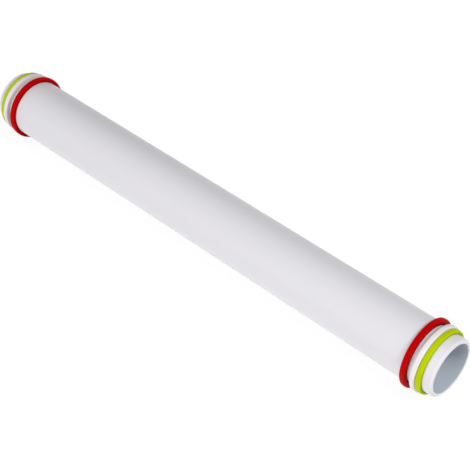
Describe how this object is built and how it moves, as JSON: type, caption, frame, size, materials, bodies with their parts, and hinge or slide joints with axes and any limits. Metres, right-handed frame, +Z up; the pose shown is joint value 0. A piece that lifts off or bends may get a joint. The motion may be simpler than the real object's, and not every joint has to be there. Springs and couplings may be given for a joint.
{
  "type": "adjustable rolling pin",
  "caption": "Hollow white rolling pin without handles; stepped end bushes carry removable elastic spacer rings of different height that set the dough's thickness.",
  "frame": {"origin": "middle of the pin, on its axis", "axes": "+X along the pin's axis towards its right end, +Z up"},
  "size_m": [0.43, 0.0514, 0.0514],
  "materials": {
    "roller_white": "smooth satin white plastic with a faint cool tint",
    "bush_white": "satin white moulded plastic",
    "ring_red": "satin red elastomer",
    "ring_white": "satin white elastomer",
    "ring_lime": "satin lime green elastomer"
  },
  "bodies": {
    "roller": {"roller_tube": "roller_white", "end_bush_left": "bush_white", "end_bush_right": "bush_white"},
    "thick_ring_left": {"thick_ring_left": "ring_red"},
    "medium_ring_left": {"medium_ring_left": "ring_white"},
    "thin_ring_left": {"thin_ring_left": "ring_lime"},
    "thick_ring_right": {"thick_ring_right": "ring_red"},
    "medium_ring_right": {"medium_ring_right": "ring_white"},
    "thin_ring_right": {"thin_ring_right": "ring_lime"}
  },
  "joints": [
    {"name": "thick_ring_left_slide", "type": "slide", "parent": "roller", "child": "thick_ring_left", "axis": [-1, 0, 0], "range_m": [0, 0.026]},
    {"name": "medium_ring_left_slide", "type": "slide", "parent": "thick_ring_left", "child": "medium_ring_left", "axis": [-1, 0, 0], "range_m": [0, 0.0175]},
    {"name": "thin_ring_left_slide", "type": "slide", "parent": "medium_ring_left", "child": "thin_ring_left", "axis": [-1, 0, 0], "range_m": [0, 0.0135]},
    {"name": "thick_ring_right_slide", "type": "slide", "parent": "roller", "child": "thick_ring_right", "axis": [1, 0, 0], "range_m": [0, 0.026]},
    {"name": "medium_ring_right_slide", "type": "slide", "parent": "thick_ring_right", "child": "medium_ring_right", "axis": [1, 0, 0], "range_m": [0, 0.019]},
    {"name": "thin_ring_right_slide", "type": "slide", "parent": "medium_ring_right", "child": "thin_ring_right", "axis": [1, 0, 0], "range_m": [0, 0.015]}
  ]
}
